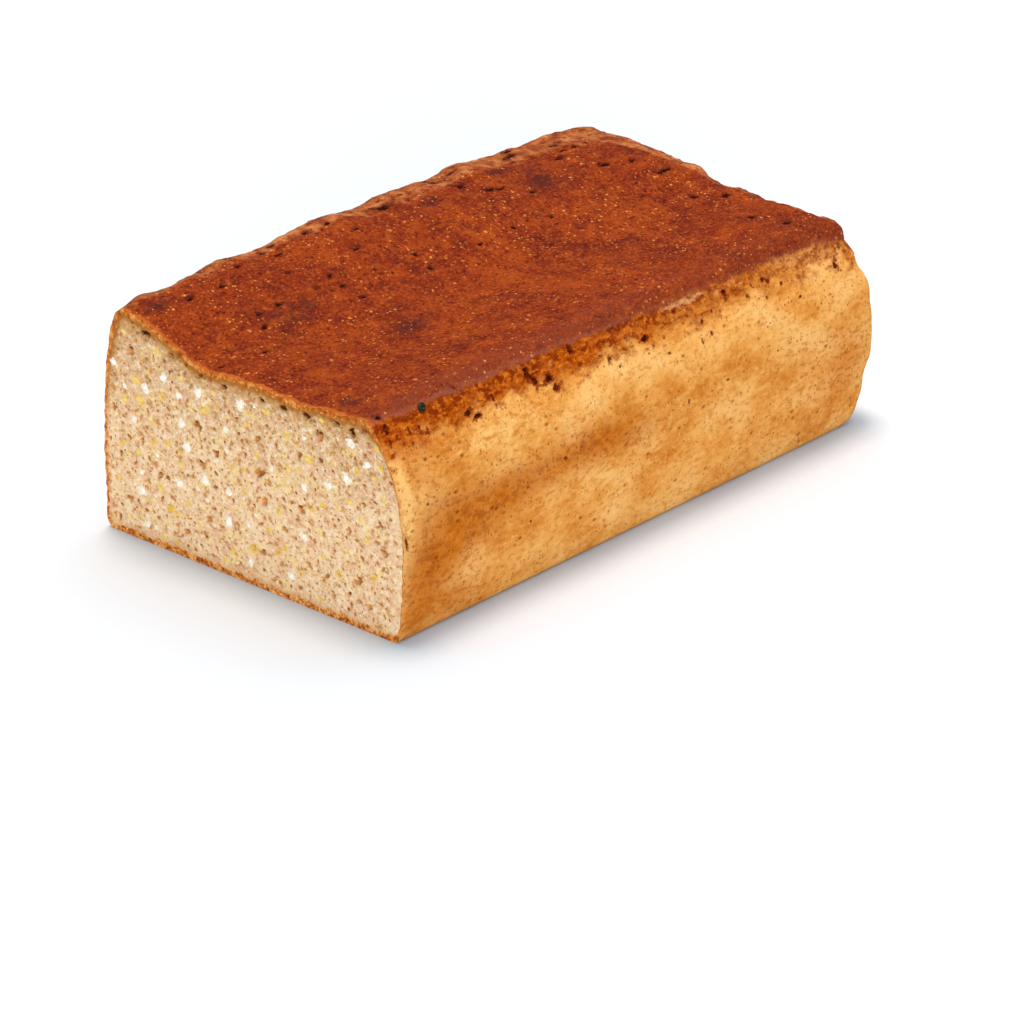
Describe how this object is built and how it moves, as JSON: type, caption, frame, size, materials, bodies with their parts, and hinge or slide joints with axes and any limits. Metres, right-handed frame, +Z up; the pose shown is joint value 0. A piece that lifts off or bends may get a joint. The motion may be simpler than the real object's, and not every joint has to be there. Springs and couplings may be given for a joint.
{
  "type": "seeded multigrain loaf",
  "caption": "Long low tin loaf with a sunken brown top and golden sides, cut square at one end to show a fine grainy crumb.",
  "frame": {"origin": "centre of the loaf's outline in plan, on the level of its flat base", "axes": "+X along the loaf from the cut face to the baked end, +Y from the near golden side to the far side under the higher ridge, +Z up"},
  "size_m": [0.226, 0.1258, 0.0794],
  "materials": {
    "crust": "baked crust, golden tan on the sides and mahogany brown on top, dull with a faint sheen",
    "crumb": "moist pinkish beige crumb with fine pores, matte",
    "white_grain": "cut whole grains, chalky white",
    "yellow_grit": "coarse yellow grits, slightly glassy"
  },
  "bodies": {
    "root": {"loaf": "crust"}
  },
  "joints": []
}
